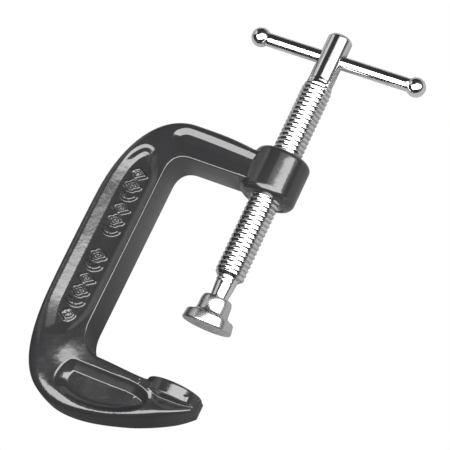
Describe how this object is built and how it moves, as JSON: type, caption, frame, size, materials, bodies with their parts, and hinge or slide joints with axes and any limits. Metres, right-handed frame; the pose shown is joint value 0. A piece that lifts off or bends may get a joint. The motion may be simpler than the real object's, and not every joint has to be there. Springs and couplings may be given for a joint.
{
  "type": "c-clamp",
  "caption": "Small C-clamp with a cast steel C-shaped frame, a threaded spindle with a sliding bar handle, and a swivel pad that closes on a fixed anvil.",
  "frame": {"origin": "middle of the anvil's flat clamping face, on the spindle's axis", "axes": "+Y out of the anvil's face along the spindle's axis, towards its handle; +X the way the throat opens, away from the spine; +Z square to the frame's flat faces"},
  "size_m": [0.085, 0.15, 0.0188],
  "materials": {
    "enamelled_frame": "glossy dark grey enamel over a casting",
    "plated_spindle": "bright plated rolled thread",
    "plated_pad": "bright plated pressed steel",
    "bright_bar": "polished plated steel"
  },
  "bodies": {
    "frame": {"frame": "enamelled_frame"},
    "tip": {"ball_tip": "plated_spindle"},
    "spindle": {"spindle": "plated_spindle"},
    "pad": {"swivel_pad": "plated_pad"},
    "handle": {"sliding_bar": "bright_bar", "end_ball_left": "bright_bar", "end_ball_right": "bright_bar"}
  },
  "joints": [
    {"name": "screw_travel", "type": "slide", "parent": "frame", "child": "tip", "axis": [0, 1, 0], "range_m": [-0.021, 0.0352]},
    {"name": "screw_spin", "type": "hinge", "parent": "tip", "child": "spindle", "pos_m": [0, 0.0394, 0], "axis": [0, 1, 0], "range_deg": [-4583, 7682]},
    {"name": "pad_swivel", "type": "hinge", "parent": "tip", "child": "pad", "pos_m": [0, 0.0286, 0], "axis": [1, 0, 0], "range_deg": [-12, 0]},
    {"name": "bar_slide", "type": "slide", "parent": "spindle", "child": "handle", "axis": [1, 0, 0], "range_m": [-0.0233, 0.0188]}
  ],
  "couplings": [
    {"joint": "screw_spin", "follows": "screw_travel", "rad_per_m": 3808}
  ]
}
